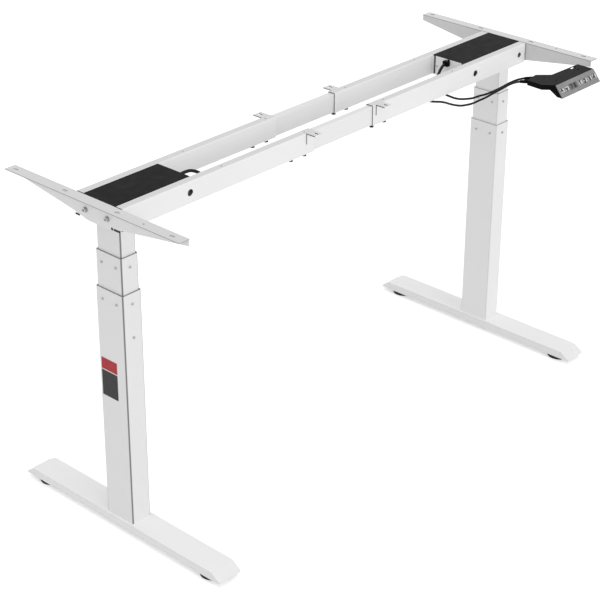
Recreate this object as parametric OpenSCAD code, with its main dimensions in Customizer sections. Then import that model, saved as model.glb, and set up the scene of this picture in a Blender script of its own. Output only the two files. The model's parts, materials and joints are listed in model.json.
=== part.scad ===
// Height-adjustable desk frame: two three-stage lifting columns under a
// telescopic pair of beams, with feet, side brackets, drive and hand control.
// X runs along the beams, -Y is the user's side, +Z is up, and the origin lies
// on the floor under the middle of the frame.

/* [Stance] */
// Distance from the middle of the frame to each column's centre
col_x = 620; // [600:1:700]
// Overall length of one foot
foot_len = 608; // [580:1:700]
// Width of one foot
foot_w = 62; // [60:1:80]
// Height of the foot's own section
foot_h = 19; // [17:1:30]
// Height of the foot's underside over the floor
foot_under = 10; // [10:0.5:14]
// Length of the sloped part at each end of the foot
foot_slope = 23; // [10:1:36]
// Upright part under the slope at each end of the foot
foot_lip = 4; // [3:0.5:8]
// Wall of the foot
foot_wall = 2; // [1.5:0.1:3]

/* [Levelling feet] */
// Distance of each levelling foot from the end of the foot
lev_in = 49; // [42:1:100]
// Diameter of the levelling foot's pad
pad_d = 56; // [30:1:60]
// Thickness of the pad
pad_h = 4.5; // [3:0.5:5]
// Diameter of the turning collar over the pad
collar_d = 22; // [16:1:24]
// Height of the turning collar
collar_h = 4; // [3:0.5:4.5]
// Thread diameter of the levelling stud
stud_d = 8; // [6:1:10]
// How far the levelling foot can be screwed in
lev_travel = 5; // [3:0.5:5.5]

/* [Columns] */
// Outer tube's size along the beams
outer_w = 50; // [48:1:60]
// Outer tube's size from front to back
outer_d = 80; // [76:1:90]
// Difference in size from one tube to the next
stage_step = 5; // [5:0.2:6]
// Wall of the three tubes
tube_wall = 1.8; // [1.5:0.1:2]
// Outside corner radius of the tubes
tube_r = 3; // [2.2:0.1:6]
// Length of the outer tube
outer_len = 545; // [520:1:600]
// Length of the middle tube
mid_len = 540; // [500:1:550]
// Length of the inner tube
inner_len = 516; // [480:1:530]
// Length of middle tube that shows over the outer tube
mid_show = 82; // [75:1:120]
// Length of inner tube that shows over the middle tube
inner_show = 75; // [72:1:120]
// Distance of the glide screws below a tube's top
glide_drop = 24; // [18:1:40]
// Half the distance between the two glide screws of a wide face
glide_pitch = 21; // [12:1:24]
// Height of a glide pad
glide_h = 44; // [30:1:60]
// Diameter of a glide screw's head
glide_head_d = 6; // [5:0.5:9]

/* [Beams] */
// Distance from the frame's middle plane to the beams' outer faces
beam_y = 66.5; // [64:0.5:80]
// Width of a beam tube
beam_w = 20; // [18:0.5:22]
// Height of a beam tube
beam_h = 49; // [46:1:60]
// Wall of the beam tubes and the centre rails
beam_wall = 1.8; // [1.5:0.1:2]
// Corner radius of the beam tubes
beam_r = 2.2; // [2:0.1:3]
// Gap between a centre rail and its beam tube
rail_gap = 0.4; // [0.3:0.05:0.6]
// Inner end of the left beams, from the middle
left_end = 108; // [90:1:200]
// Inner end of the right beams, from the middle
right_end = 86; // [80:1:200]
// Length of rail inside each beam
rail_engage = 312; // [220:1:340]
// Diameter of the large hole in each beam's outer face
port_d = 15; // [10:1:20]
// Place of the left beams' large holes, from the column's centre
left_port = 143; // [120:1:200]
// Place of the right beams' large holes, from the column's centre
right_port = 160; // [120:1:200]
// Diameter of the access hole near the side bracket
access_d = 13; // [8:1:16]
// Diameter of the small holes in the beams' tops
top_hole_d = 5; // [4:0.5:7]
// Width of a desktop lug
lug_w = 24; // [20:1:30]
// Reach of a desktop lug from the beam
lug_reach = 24.5; // [22:0.5:40]
// Height of a lug's leg on the beam's face
lug_leg = 25; // [15:1:35]
// Length of a lug's slot
lug_slot = 14; // [8:1:16]
// Width of a lug's slot
lug_slot_w = 6.5; // [5:0.5:8]

/* [Side brackets] */
// Length of a side bracket
side_len = 508; // [440:1:600]
// Distance from the column's centre to the side bracket's upright web
bracket_off = 40.5; // [40.5:0.5:50]
// Thickness of the side bracket's steel
side_t = 2.5; // [2:0.1:4]
// Overall width of the side bracket's top
side_flange = 26.5; // [22:0.5:40]
// Height of the side bracket at its ends
side_end_h = 15; // [10:1:25]
// Diameter of the bolts through the side bracket
side_bolt_d = 8; // [6:1:8]
// Width of the desktop slots in the side bracket
side_slot_w = 7; // [5:0.5:9]
// Length of the desktop slots in the side bracket
side_slot = 13; // [10:1:20]

/* [Drive boxes] */
// Length of the left drive box
left_box = 201.5; // [185:0.5:240]
// Length of the right drive box
right_box = 219.5; // [214:0.5:260]
// Sheet thickness of the drive boxes
box_wall = 2; // [1.5:0.1:3]
// Thickness of a drive box cover
cover_t = 1.5; // [1:0.1:2.5]
// Length of the gearbox along the beams
gear_l = 60; // [50:1:64]
// Length of the motor can
motor_l = 62; // [50:1:70]
// Diameter of the motor can
motor_d = 41; // [36:1:41]

/* [Lifting screws] */
// Diameter of the drive screw
screw_d = 10; // [9:0.5:11]
// Outside diameter of the hollow screw
hollow_d = 18; // [16:0.5:20]
// Radial running clearance of the screws in their nuts
run_gap = 0.06; // [0.03:0.01:0.1]
// Length of a screw nut
nut_l = 28; // [20:1:32]

/* [Hand control] */
// Length of the hand control
hand_l = 152; // [130:1:170]
// Distance from the column's centre to the hand control's right end
hand_off = 9.5; // [-40:0.5:20]
// Front top edge of the hand control, in front of the frame's middle
hand_y = 282.5; // [270:0.5:290]
// Drop of the hand control's top below the frame's top
hand_drop = 4; // [3:0.5:12]
// Length of the sloped panel from its top edge to its bottom edge
panel_l = 34; // [28:0.5:36]
// Thickness of the hand control's body at the back
hand_t = 12; // [10:0.5:16]
// Length of one button
button_l = 13; // [10:0.5:14]
// Width of one button
button_w = 9; // [7:0.5:12]
// Travel of one button
button_travel = 0.6; // [0.3:0.1:0.8]

/* [Cables] */
// Diameter of the motor leads
lead_d = 7; // [5:0.5:7]
// Diameter of the hand control's cables
wire_d = 5; // [4:0.5:6]

/* [Hidden] */
$fn = 48;
cut = 1;
mill = 0.4;
powder = [0.93, 0.93, 0.92];
steel = [0.62, 0.63, 0.65];
jet = [0.1, 0.1, 0.11];
grey = [0.55, 0.56, 0.57];

foot_top = foot_under + foot_h;
outer_top = foot_top + outer_len;
mid_top = outer_top + mid_show;
beam_bot = mid_top + inner_show;
frame_top = beam_bot + beam_h;
mid_w = outer_w - stage_step;
mid_d = outer_d - stage_step;
inner_w = mid_w - stage_step;
inner_d = mid_d - stage_step;
glide_gap = 0.1;
glide_t = stage_step/2 - tube_wall - glide_gap;

// Foot fasteners, in a rectangle about the column's centre
lev_y = foot_len/2 - lev_in;
seam_w = 1.2;
seam_deep = 0.8;
foot_bolt_d = 8;
foot_bolt_head_d = 13;
foot_bolt_head_h = 5;
foot_bolt_x = 13;
foot_bolt_y = 28;
bolt_gap = 0.12;
insert_d = 16;
stop_gap = 0.5;
insert_bot = pad_h + collar_h + lev_travel + stop_gap;
insert_l = foot_top - foot_wall - insert_bot;
stud_gap = 0.06;
stud_top = foot_top - foot_wall - lev_travel - stop_gap;

// Base plate, nut post and screws
base_t = 6;
post_wall = 2.4;
nut_wall = 4.4;
post_gap = 0.6;
nut_drop = 174;
nut_top = outer_top - nut_drop;
hollow_drop = 4;
hollow_bot = mid_top - mid_len - hollow_drop;
hollow_l = 378;
hollow_wall = 3.2;
drive_drop = 15;
drive_bot = beam_bot - inner_len - drive_drop;
drive_in = 23;

// Inner tube's head plate
head_t = 5;
head_hole_d = 15;

// Glide screws
glide_shank_d = 4;
glide_head_h = 1.6;
hex_share = 0.5;
key_d = 3.4;
glide_side_w = 56;
glide_end_w = 26;
low_screw_drop = 101;

// Side bracket outline and places
web_x = col_x + bracket_off;
web_mid_h = 53;
web_knee_h = 43;
web_mid_y = 30;
web_knee_y = 74;
side_bolt_mid = 5;
side_bolt_pitch = 64;
side_bolts = [for (e = [-1, 1]) side_bolt_mid + e*side_bolt_pitch/2];
side_bolt_drop = 31;
side_slot_pitch = 152.5;
side_slot_start = -223;
side_slots = [for (i = [0:3]) side_slot_start + i*side_slot_pitch];
side_hole_y = -145;
side_hole_d = 5;
side_bolt_head_d = 10.5;
side_bolt_head_h = 4.5;
washer_d = 12.5;
washer_t = 1.6;
side_bolt_l = 9;

// Beam details
lug_t = 2;
lug_left = 13;
lug_right = 22;
clamp_left = 21;
clamp_right = 8;
clamp_pitch = 42.5;
clamp_d = 6;
clamp_head_d = 10;
clamp_head_h = 6;
top_hole_in = 240;
top_hole_pitch = 249;
top_holes = [for (i = [0, 1]) top_hole_in + i*top_hole_pitch];
beam_gap = 2.5;
access_in = 25.5;

// Drive box details
cover_lip = 4;
lip_t = 1.2;
fit_gap = 0.2;
gear_w = 64;
gear_h = 40;
motor_cap = 4;
box_screw_y = 34;
box_screw_z = 22;
box_screw_d = 4;
gland_y = -12;
gland_drop = 8.5;
gland_gap = 1;
slit_w = 6;
inlet_window = [-41, -19, 5, 21];
ctrl_l = 76;
ctrl_side_gap = 2.5;
ctrl_top_gap = 1;
plug_l = 12;
plug_w = 14;
plug_h = 12;
plug_y = 3;
plug_drop = 11;
latch_w = 5;
latch_h = 3.5;
latch_y = -1.5;
latch_in = 9.5;
latch_t = 2.5;
inlet_w = 20;
inlet_h = 14;
inlet_deep = 8;
inlet_pin_d = 2.4;
inlet_pin_l = 6;

// Hand control
panel_tilt = 51;
panel_t = 2;
cap_rise = 0.7;
cap_gap = 0.25;
cap_lip = 1;
cap_lip_t = 1;
button_places_share = [0.075, 0.198, 0.555, 0.68, 0.805, 0.93];
display_share = 0.365;
display_l = 32;
display_w = 15;
display_deep = 0.5;
pocket_spare = 1.4;
pocket_deep = button_travel + pocket_spare;
nose_share = 0.25;
body_back = 44;
step_back = 4;
step_x = 51;
wing_back = 75;
wing_in = 25;
wing_out = [17, 68];
wing_l = 20;
wing_front = 26;
boot_d = [10, 7];
ear_hole_d = 6;
notch_l = 20;
notch_deep = 8;
notch_rim = 1.6;
ear_x = 27;
ear_y = 24;
rib_l = 9;
rib_w = 1.4;
rib_x = 5;
rib_pitch = 16;
rib_y = 18;

hand_x = col_x + hand_off;
hand_z = frame_top - hand_drop;
hand_left = hand_x - hand_l;

// Cable routes, laid out under a frame top at route_top
route_top = 780;
lead_sides = 10;
wire_sides = 8;
lead_left_route = [
    [-528, 0, 755], [-516, 0, 755], [-500, -3, 759], [-480, -9, 767], [-460, -12, 770],
    [-444, -15, 774], [-430, -21, 775], [-420, -32, 771], [-412, -40, 760],
    [-400, -42, 750], [-380, -42, 744], [-350, -42, 742], [-240, -42, 742],
    [-120, -42, 742], [0, -42, 742]];
lead_right_route = [
    [0, -42, 742], [110, -42, 742], [220, -42, 742], [330, -42, 742], [350, -40, 742],
    [368, -32, 742], [382, -19, 742], [394, -6, 744], [403, 1, 746], [410, 4, 750],
    [415, 5, 755], [419, 5, 759.5], [423.5, 4.5, 764], [427.5, 4, 766.8], [430.3, 4, 767.2]];
wire_a_route = [
    [hand_left + 14.5, -212, 771], [hand_left + 3.5, -192, 769], [468, -181, 766], [453, -171, 760],
    [438, -159, 750], [427, -145, 740], [418, -130, 731], [411, -116, 725],
    [402, -104, 719], [391, -92, 717], [381, -82, 717], [374, -72, 719], [369, -62, 722],
    [367, -52, 724], [370, -42, 726], [378, -34, 729], [390, -28, 735], [402, -25, 740],
    [416, -23, 743], [430, -22, 744], [438, -22, 744], [443, -22, 744]];
wire_b_route = [
    [hand_left - 7.5, -218, 771], [hand_left - 18.5, -196, 768], [447, -180, 762], [432, -166, 751],
    [420, -151, 739], [408, -138, 728], [399, -126, 720], [390, -114, 712],
    [380, -103, 708], [370, -95, 707], [360, -87, 709], [349, -80, 713], [338, -73, 718],
    [328, -67, 721], [318, -59, 722], [312, -48, 722], [314, -37, 721], [324, -29, 720],
    [340, -27, 719], [360, -29, 719], [378, -31, 720], [396, -32, 727], [406, -32, 732],
    [415, -31, 739], [425, -31, 743], [436, -30, 744], [443, -30, 744]];

// 2D rectangle with round corners, centred
module round_rect(w, d, r) {
    square([w - 2*r, d], center = true);
    square([w, d - 2*r], center = true);
    for (sx = [-1, 1], sy = [-1, 1]) translate([sx*(w/2 - r), sy*(d/2 - r)]) circle(r);
}

// Upright rectangular tube from z0, centred on X and Y
module column_tube(w, d, z0, h) {
    translate([0, 0, z0]) linear_extrude(h) difference() {
        round_rect(w, d, tube_r);
        round_rect(w - 2*tube_wall, d - 2*tube_wall, max(tube_r - tube_wall, mill));
    }
}

// Runs its children at each glide screw of a tube: at the outer face, along the outward normal
module at_glides(w, d, z) {
    for (sx = [-1, 1], sy = [-1, 1])
        translate([sx*w/2, sy*glide_pitch, z]) rotate([0, sx*90, 0]) children();
    for (sy = [-1, 1]) translate([0, sy*d/2, z]) rotate([-sy*90, 0, 0]) children();
}

// Screws that hold the glides of the tube of size w x d
module glide_screws(w, d, top) {
    at_glides(w, d, top - glide_drop) glide_screw();
}

module glide_screw() {
    difference() {
        union() {
            cylinder(d = glide_head_d, h = glide_head_h);
            translate([0, 0, -tube_wall]) cylinder(d = glide_shank_d, h = tube_wall);
        }
        translate([0, 0, glide_head_h/2]) cylinder(d = key_d, h = glide_head_h, $fn = 6);
    }
}

// Place of the single screw lower on the front of the left outer tube
module at_low_screw() {
    translate([0, -outer_d/2, outer_top - low_screw_drop]) rotate([90, 0, 0]) children();
}

// Four low-friction pads inside the top of the tube of size w x d
module glide_pads(w, d, top) {
    z0 = top - glide_drop - glide_h/2;
    for (sx = [-1, 1]) translate([sx*(w/2 - tube_wall - glide_t/2), 0, z0 + glide_h/2])
        cube([glide_t, glide_side_w, glide_h], center = true);
    for (sy = [-1, 1]) translate([0, sy*(d/2 - tube_wall - glide_t/2), z0 + glide_h/2])
        cube([glide_end_w, glide_t, glide_h], center = true);
}

module outer_glides(s) { color(grey) at_column(s) glide_pads(outer_w, outer_d, outer_top); }

module middle_glides(s) { color(grey) at_column(s) glide_pads(mid_w, mid_d, mid_top); }

module outer_screws(s) {
    color(steel) at_column(s) {
        glide_screws(outer_w, outer_d, outer_top);
        if (s < 0) at_low_screw() glide_screw();
    }
}

module middle_screws(s) { color(steel) at_column(s) glide_screws(mid_w, mid_d, mid_top); }

// Holes in a tube for its glide screws
module glide_holes(w, d, top) {
    at_glides(w, d, top - glide_drop) translate([0, 0, -tube_wall - cut])
        cylinder(d = glide_shank_d + 2*bolt_gap, h = tube_wall + 2*cut);
}

module at_column(s) { translate([s*col_x, 0, 0]) children(); }

module at_foot_bolts() {
    for (sx = [-1, 1], sy = [-1, 1]) translate([sx*foot_bolt_x, sy*foot_bolt_y, 0]) children();
}

// Foot: a shallow box section with sloped end caps, a seam at each of them, and
// holes below
module foot(s) {
    l = foot_len/2;
    room = foot_h - 2*foot_wall;
    color(powder) at_column(s) difference() {
        union() {
            difference() {
                rotate([90, 0, 90]) translate([0, 0, -foot_w/2]) linear_extrude(foot_w) polygon([
                    [-l, foot_under], [l, foot_under], [l, foot_under + foot_lip],
                    [l - foot_slope, foot_top], [foot_slope - l, foot_top],
                    [-l, foot_under + foot_lip]]);
                translate([0, 0, foot_under + foot_wall + room/2])
                    cube([foot_w - 2*foot_wall, foot_len - 2*foot_slope - 2*foot_wall, room],
                        center = true);
            }
            for (sy = [-1, 1]) translate([0, sy*lev_y, foot_top - foot_wall - insert_l])
                cylinder(d = insert_d, h = insert_l + foot_wall/2);
        }
        for (sy = [-1, 1]) translate([0, sy*lev_y, 0]) {
            translate([0, 0, foot_under - cut])
                cylinder(d = collar_d + 2*fit_gap, h = insert_bot - foot_under + cut);
            translate([0, 0, foot_under])
                cylinder(d = stud_d + 2*stud_gap, h = foot_h - foot_wall);
        }
        at_foot_bolts() {
            translate([0, 0, foot_under - cut])
                cylinder(d = foot_bolt_head_d + 2*foot_wall, h = foot_wall + 2*cut);
            cylinder(d = foot_bolt_d + 2*bolt_gap, h = foot_top + cut);
        }
        for (sx = [-1, 1], sy = [-1, 1])
            translate([sx*foot_w/2, sy*(l - foot_slope), foot_under + foot_h/2])
                cube([2*seam_deep, seam_w, foot_h + 2*cut], center = true);
    }
}

// Bolts up through the foot's top wall into the base plate
module foot_bolts(s) {
    z0 = foot_top - foot_wall - foot_bolt_head_h;
    color(steel) at_column(s) at_foot_bolts() translate([0, 0, z0]) difference() {
        union() {
            cylinder(d = foot_bolt_head_d, h = foot_bolt_head_h);
            cylinder(d = foot_bolt_d, h = foot_bolt_head_h + foot_wall + base_t);
        }
        translate([0, 0, -cut]) cylinder(d = foot_bolt_d - foot_wall,
            h = foot_bolt_head_h*hex_share + cut, $fn = 6);
    }
}

// Screw-in levelling foot: pad, hexagonal turning collar and stud
module leveller(s, f) {
    color(jet) at_column(s) translate([0, f*lev_y, 0]) {
        cylinder(d = pad_d, h = pad_h);
        cylinder(d = collar_d, h = pad_h + collar_h, $fn = 6);
        cylinder(d = stud_d, h = stud_top);
    }
}

module outer_tube(s) {
    color(powder) at_column(s) difference() {
        column_tube(outer_w, outer_d, foot_top, outer_len);
        glide_holes(outer_w, outer_d, outer_top);
        if (s < 0) at_low_screw() translate([0, 0, -tube_wall - cut])
            cylinder(d = glide_shank_d + 2*bolt_gap, h = tube_wall + 2*cut);
    }
}

// Base plate with the hollow post that carries the fixed nut
module base_post(s) {
    play = 2*fit_gap;
    pipe_r = hollow_d/2 + post_gap;
    color(steel) at_column(s) difference() {
        union() {
            translate([0, 0, foot_top + base_t/2]) cube([outer_w - 2*tube_wall - play,
                outer_d - 2*tube_wall - play, base_t], center = true);
            translate([0, 0, foot_top]) cylinder(r = pipe_r + post_wall, h = nut_top - foot_top - cut);
            translate([0, 0, nut_top - nut_l]) cylinder(r = hollow_d/2 + nut_wall, h = nut_l);
        }
        translate([0, 0, foot_top + base_t])
            cylinder(r = pipe_r, h = nut_top - nut_l - foot_top - base_t);
        translate([0, 0, nut_top - nut_l - cut]) cylinder(r = hollow_d/2 + run_gap, h = nut_l + 2*cut);
        at_foot_bolts() cylinder(d = foot_bolt_d + 2*bolt_gap, h = foot_top + base_t + cut);
    }
}

module middle_tube(s) {
    color(powder) at_column(s) difference() {
        column_tube(mid_w, mid_d, mid_top - mid_len, mid_len);
        glide_holes(mid_w, mid_d, mid_top);
    }
}

// Hollow screw: bored for the drive screw, with the moving nut in its top
module hollow_screw(s) {
    bore_r = hollow_d/2 - hollow_wall;
    color(steel) at_column(s) translate([0, 0, hollow_bot]) difference() {
        cylinder(d = hollow_d, h = hollow_l);
        translate([0, 0, -cut]) cylinder(r = bore_r, h = hollow_l - nut_l + cut);
        cylinder(r = screw_d/2 + run_gap, h = hollow_l + cut);
    }
}

// Inner tube with the plate that closes its top
module inner_tube(s) {
    z0 = beam_bot - inner_len;
    color(powder) at_column(s) {
        column_tube(inner_w, inner_d, z0, inner_len);
        translate([0, 0, beam_bot - head_t]) linear_extrude(head_t) difference() {
            square([inner_w - 2*tube_wall, inner_d - 2*tube_wall], center = true);
            circle(d = head_hole_d);
        }
    }
}

module drive_screw(s) {
    color(steel) at_column(s) translate([0, 0, drive_bot])
        cylinder(d = screw_d, h = beam_bot + box_wall + drive_in - drive_bot);
}

function box_len(s) = s < 0 ? left_box : right_box;
function beam_end(s) = s < 0 ? left_end : right_end;
function lug_off(s) = s < 0 ? lug_left : lug_right;
function clamp_off(s) = s < 0 ? clamp_left : clamp_right;
function port_off(s) = s < 0 ? left_port : right_port;
box_y = beam_y - beam_w;
box_top = frame_top - cover_t;

// Open-topped sheet box between the beams that carries the gear motor
module drive_box(s) {
    l = box_len(s);
    h = box_top - beam_bot;
    color(powder) translate([s*(web_x - l/2), 0, beam_bot]) difference() {
        translate([0, 0, h/2]) cube([l, 2*box_y, h], center = true);
        translate([0, 0, box_wall + h/2])
            cube([l - 2*box_wall, 2*box_y - 2*box_wall, h], center = true);
        translate([s*(col_x - web_x + l/2), 0, -cut]) cylinder(d = head_hole_d, h = box_wall + 2*cut);
        for (y = side_bolts) translate([s*l/2, y, frame_top - side_bolt_drop - beam_bot])
            rotate([0, 90, 0]) cylinder(d = side_bolt_d + 2*bolt_gap, h = 3*box_wall, center = true);
        if (s < 0) translate([l/2, gland_y, h - gland_drop]) rotate([0, 90, 0])
            cylinder(d = lead_d + 2*gland_gap, h = 3*box_wall, center = true);
        if (s > 0) {
            translate([-l/2 - cut, inlet_window[0], inlet_window[2]])
                cube([box_wall + 2*cut, inlet_window[1] - inlet_window[0],
                    inlet_window[3] - inlet_window[2]]);
            translate([-l/2, plug_y, frame_top - plug_drop - beam_bot])
                cube([3*box_wall, plug_w + 2*fit_gap, plug_h + 2*fit_gap], center = true);
            for (e = [-1, 1]) translate([-l/2, e*(box_y - box_wall - slit_w/2), box_wall + h/2])
                cube([3*box_wall, slit_w, h], center = true);
            translate([-l/2, box_screw_y, box_screw_z]) rotate([0, 90, 0])
                cylinder(d = box_screw_d, h = 3*box_wall, center = true);
        }
    }
}

// Gearbox over the column and the motor that drives it
module gear_motor(s) {
    z0 = beam_bot + box_wall;
    color(jet) at_column(s) translate([0, 0, z0]) difference() {
        translate([0, 0, gear_h/2]) cube([gear_l, gear_w, gear_h], center = true);
        translate([0, 0, -cut]) cylinder(r = screw_d/2 + run_gap, h = drive_in + 3*cut);
    }
    color(steel) translate([s*(col_x - gear_l/2), 0, z0 + motor_d/2 + fit_gap]) rotate([0, -s*90, 0])
        union() {
            cylinder(d = motor_d, h = motor_l - motor_cap);
            cylinder(d = motor_d - motor_cap, h = motor_l);
        }
}

module cover(s) {
    l = box_len(s);
    lip = box_wall + fit_gap;
    color(jet) translate([s*(web_x - l/2), 0, box_top]) {
        translate([0, 0, cover_t/2]) cube([l - fit_gap, 2*box_y - fit_gap, cover_t], center = true);
        translate([0, 0, -cover_lip]) linear_extrude(cover_lip + cover_t/2) difference() {
            square([l - 2*lip, 2*box_y - 2*lip], center = true);
            square([l - 2*lip - 2*lip_t, 2*box_y - 2*lip - 2*lip_t], center = true);
        }
    }
}

// Beam tube from its inner end to the side bracket; f is -1 in front and 1 behind
module beam(s, f) {
    x0 = beam_end(s);
    l = web_x - beam_gap - x0;
    y = f*(beam_y - beam_w/2);
    lug_x = x0 + lug_off(s);
    color(powder) difference() {
        union() {
            translate([s*(x0 + l/2), y, beam_bot + beam_h/2]) rotate([90, 0, 90])
                translate([0, 0, -l/2]) linear_extrude(l) difference() {
                    round_rect(beam_w, beam_h, beam_r);
                    round_rect(beam_w - 2*beam_wall, beam_h - 2*beam_wall,
                        max(beam_r - beam_wall, mill));
                }
            translate([s*lug_x, f*(beam_y + lug_reach/2 - beam_r/2), frame_top - lug_t/2])
                cube([lug_w, lug_reach + beam_r, lug_t], center = true);
            translate([s*lug_x, f*(beam_y + (lug_t - beam_wall)/2), frame_top - lug_leg/2])
                cube([lug_w, lug_t + beam_wall, lug_leg], center = true);
        }
        translate([s*lug_x, f*(beam_y + lug_reach - lug_slot/2 - lug_t), frame_top - lug_t - cut])
            linear_extrude(lug_t + 2*cut) {
                square([lug_slot_w, lug_slot - lug_slot_w], center = true);
                for (e = [-1, 1]) translate([0, e*(lug_slot - lug_slot_w)/2]) circle(d = lug_slot_w);
            }
        translate([s*(col_x - port_off(s)), f*beam_y, beam_bot + beam_h/2]) rotate([90, 0, 0])
            cylinder(d = port_d, h = beam_w, center = true);
        if (s*f < 0) translate([s*(web_x - access_in), f*beam_y, beam_bot + beam_h/2])
            rotate([90, 0, 0]) cylinder(d = access_d, h = beam_w, center = true);
        for (x = top_holes) translate([s*(col_x - x), y, frame_top - beam_wall - cut])
            cylinder(d = top_hole_d, h = beam_wall + 2*cut);
        for (i = [0, 1]) translate([s*(x0 + clamp_off(s) + i*clamp_pitch), y, beam_bot - cut])
            cylinder(d = clamp_d + 2*bolt_gap, h = beam_wall + 2*cut);
    }
}

// Screws from below that clamp the centre rails
module clamp_screws(s) {
    color(jet) for (f = [-1, 1], i = [0, 1])
        translate([s*(beam_end(s) + clamp_off(s) + i*clamp_pitch), f*(beam_y - beam_w/2), beam_bot])
            difference() {
                union() {
                    translate([0, 0, -clamp_head_h]) cylinder(d = clamp_head_d, h = clamp_head_h);
                    cylinder(d = clamp_d, h = beam_wall);
                }
                translate([0, 0, -clamp_head_h - cut])
                    cylinder(d = clamp_d - cut, h = clamp_head_h*hex_share + cut, $fn = 6);
            }
}

// Side bracket: upright web against the beams' ends and a top turned outwards
module side_bracket(s) {
    l = side_len/2;
    slot_x = side_t + (side_flange - side_t)/2;
    web_z = [side_end_h, web_knee_h, web_mid_h];
    color(powder) translate([s*web_x, 0, frame_top]) difference() {
        union() {
            translate([s*side_t/2, 0, 0]) rotate([90, 0, 90]) translate([0, 0, -side_t/2])
                linear_extrude(side_t) polygon([
                    [-l, 0], [-l, -web_z[0]], [-web_knee_y, -web_z[1]], [-web_mid_y, -web_z[2]],
                    [web_mid_y, -web_z[2]], [web_knee_y, -web_z[1]], [l, -web_z[0]], [l, 0]]);
            translate([s*side_flange/2, 0, -side_t/2]) cube([side_flange, side_len, side_t],
                center = true);
        }
        for (y = side_bolts) translate([0, y, -side_bolt_drop]) rotate([0, 90, 0])
            cylinder(d = side_bolt_d + 2*bolt_gap, h = 3*side_t, center = true);
        for (y = side_slots) translate([s*slot_x, y, -side_t - cut]) linear_extrude(side_t + 2*cut) {
            square([side_slot_w, side_slot - side_slot_w], center = true);
            for (e = [-1, 1]) translate([0, e*(side_slot - side_slot_w)/2]) circle(d = side_slot_w);
        }
        translate([s*slot_x, side_hole_y, -side_t - cut])
            cylinder(d = side_hole_d, h = side_t + 2*cut);
    }
}

// Bolts with washers from the side bracket into the drive box
module bracket_bolts(s) {
    key = side_bolt_head_d*hex_share;
    color(steel) for (y = side_bolts)
        translate([s*(web_x + side_t), y, frame_top - side_bolt_drop]) rotate([0, s*90, 0])
            difference() {
                union() {
                    cylinder(d = washer_d, h = washer_t);
                    cylinder(d = side_bolt_head_d, h = washer_t + side_bolt_head_h);
                    translate([0, 0, -side_bolt_l]) cylinder(d = side_bolt_d, h = side_bolt_l);
                }
                translate([0, 0, washer_t + side_bolt_head_h/2])
                    cylinder(d = key, h = side_bolt_head_h, $fn = 6);
            }
}

// Centre rail that slides inside both beams of one side
module rail(f) {
    w = beam_w - 2*beam_wall - 2*rail_gap;
    h = beam_h - 2*beam_wall - 2*rail_gap;
    x0 = -left_end - rail_engage;
    x1 = right_end + rail_engage;
    color(powder) translate([x0, f*(beam_y - beam_w/2), beam_bot + beam_h/2]) rotate([90, 0, 90])
        linear_extrude(x1 - x0) difference() {
            round_rect(w, h, beam_wall/2);
            square([w - 2*beam_wall, h - 2*beam_wall], center = true);
        }
}

ctrl_x = web_x - right_box + box_wall;
ctrl_z = beam_bot + box_wall;
ctrl_w = 2*(box_y - box_wall - ctrl_side_gap);
ctrl_h = beam_h - cover_t - box_wall - cover_lip - ctrl_top_gap;

// Control box in the right drive box, with its mains inlet in the window
module control_box() {
    inlet_mid = (inlet_window[0] + inlet_window[1])/2;
    inlet_z = (inlet_window[2] + inlet_window[3])/2 - box_wall;
    color(jet) translate([ctrl_x, 0, ctrl_z]) {
        difference() {
            translate([0, -ctrl_w/2, 0]) cube([ctrl_l, ctrl_w, ctrl_h]);
            translate([inlet_deep/2, inlet_mid, inlet_z])
                cube([inlet_deep + cut, inlet_w, inlet_h], center = true);
        }
        for (e = [-1, 1]) translate([inlet_deep - inlet_pin_l, inlet_mid + e*inlet_w/4, inlet_z])
            rotate([0, 90, 0]) cylinder(d = inlet_pin_d, h = inlet_pin_l + cut);
    }
}

// Plug on the control box, where the left motor's lead comes in
module control_plug() {
    color(jet) translate([ctrl_x - plug_l, plug_y - plug_w/2, frame_top - plug_drop - plug_h/2]) {
        cube([plug_l, plug_w, plug_h]);
        translate([latch_in - latch_t, plug_w/2 + latch_y - plug_y - latch_w/2, plug_h - cut])
            cube([latch_t, latch_w, latch_h + cut]);
    }
}

function under_top(route) = [for (p = route) p + [0, 0, frame_top - route_top]];
function sub_pt(p, i) = p[max(0, min(len(p) - 1, i))];
function spline(p, i, t) = let (a = sub_pt(p, i - 1), b = sub_pt(p, i), c = sub_pt(p, i + 1),
    d = sub_pt(p, i + 2)) 0.5*(2*b + (c - a)*t + (2*a - 5*b + 4*c - d)*t*t
    + (3*b - a - 3*c + d)*t*t*t);
function route_points(p, n) = concat(
    [for (i = [0:len(p) - 2], k = [0:n - 1]) spline(p, i, k/n)], [p[len(p) - 1]]);
function unit(v) = v/norm(v);
function tangent(q, i) = unit(sub_pt(q, i + 1) - sub_pt(q, i - 1));
function side_dir(t) = unit(cross(t, abs(t[2]) < 0.9 ? [0, 0, 1] : [0, 1, 0]));
function ring_pts(q, i, r, n) = let (t = tangent(q, i), u = side_dir(t), v = cross(t, u))
    [for (k = [0:n - 1]) q[i] + r*cos(360*k/n)*u + r*sin(360*k/n)*v];

// Round tube along a route, n sides and m rings a stretch
module sweep(route, d, n, m) {
    q = route_points(route, m);
    c = len(q);
    pts = [for (i = [0:c - 1]) each ring_pts(q, i, d/2, n)];
    walls = [for (i = [0:c - 2], k = [0:n - 1], half = [0, 1]) let (a = i*n + k,
        b = i*n + (k + 1) % n) half == 0 ? [a, b, b + n] : [a, b + n, a + n]];
    ends = [[for (k = [n - 1:-1:0]) k], [for (k = [0:n - 1]) (c - 1)*n + k]];
    polyhedron(points = pts, faces = concat(walls, ends), convexity = 6);
}

module lead(route) { color(jet) sweep(route, lead_d, lead_sides, 1); }

module wire(route) { color(jet) sweep(route, wire_d, wire_sides, 1); }

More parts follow.
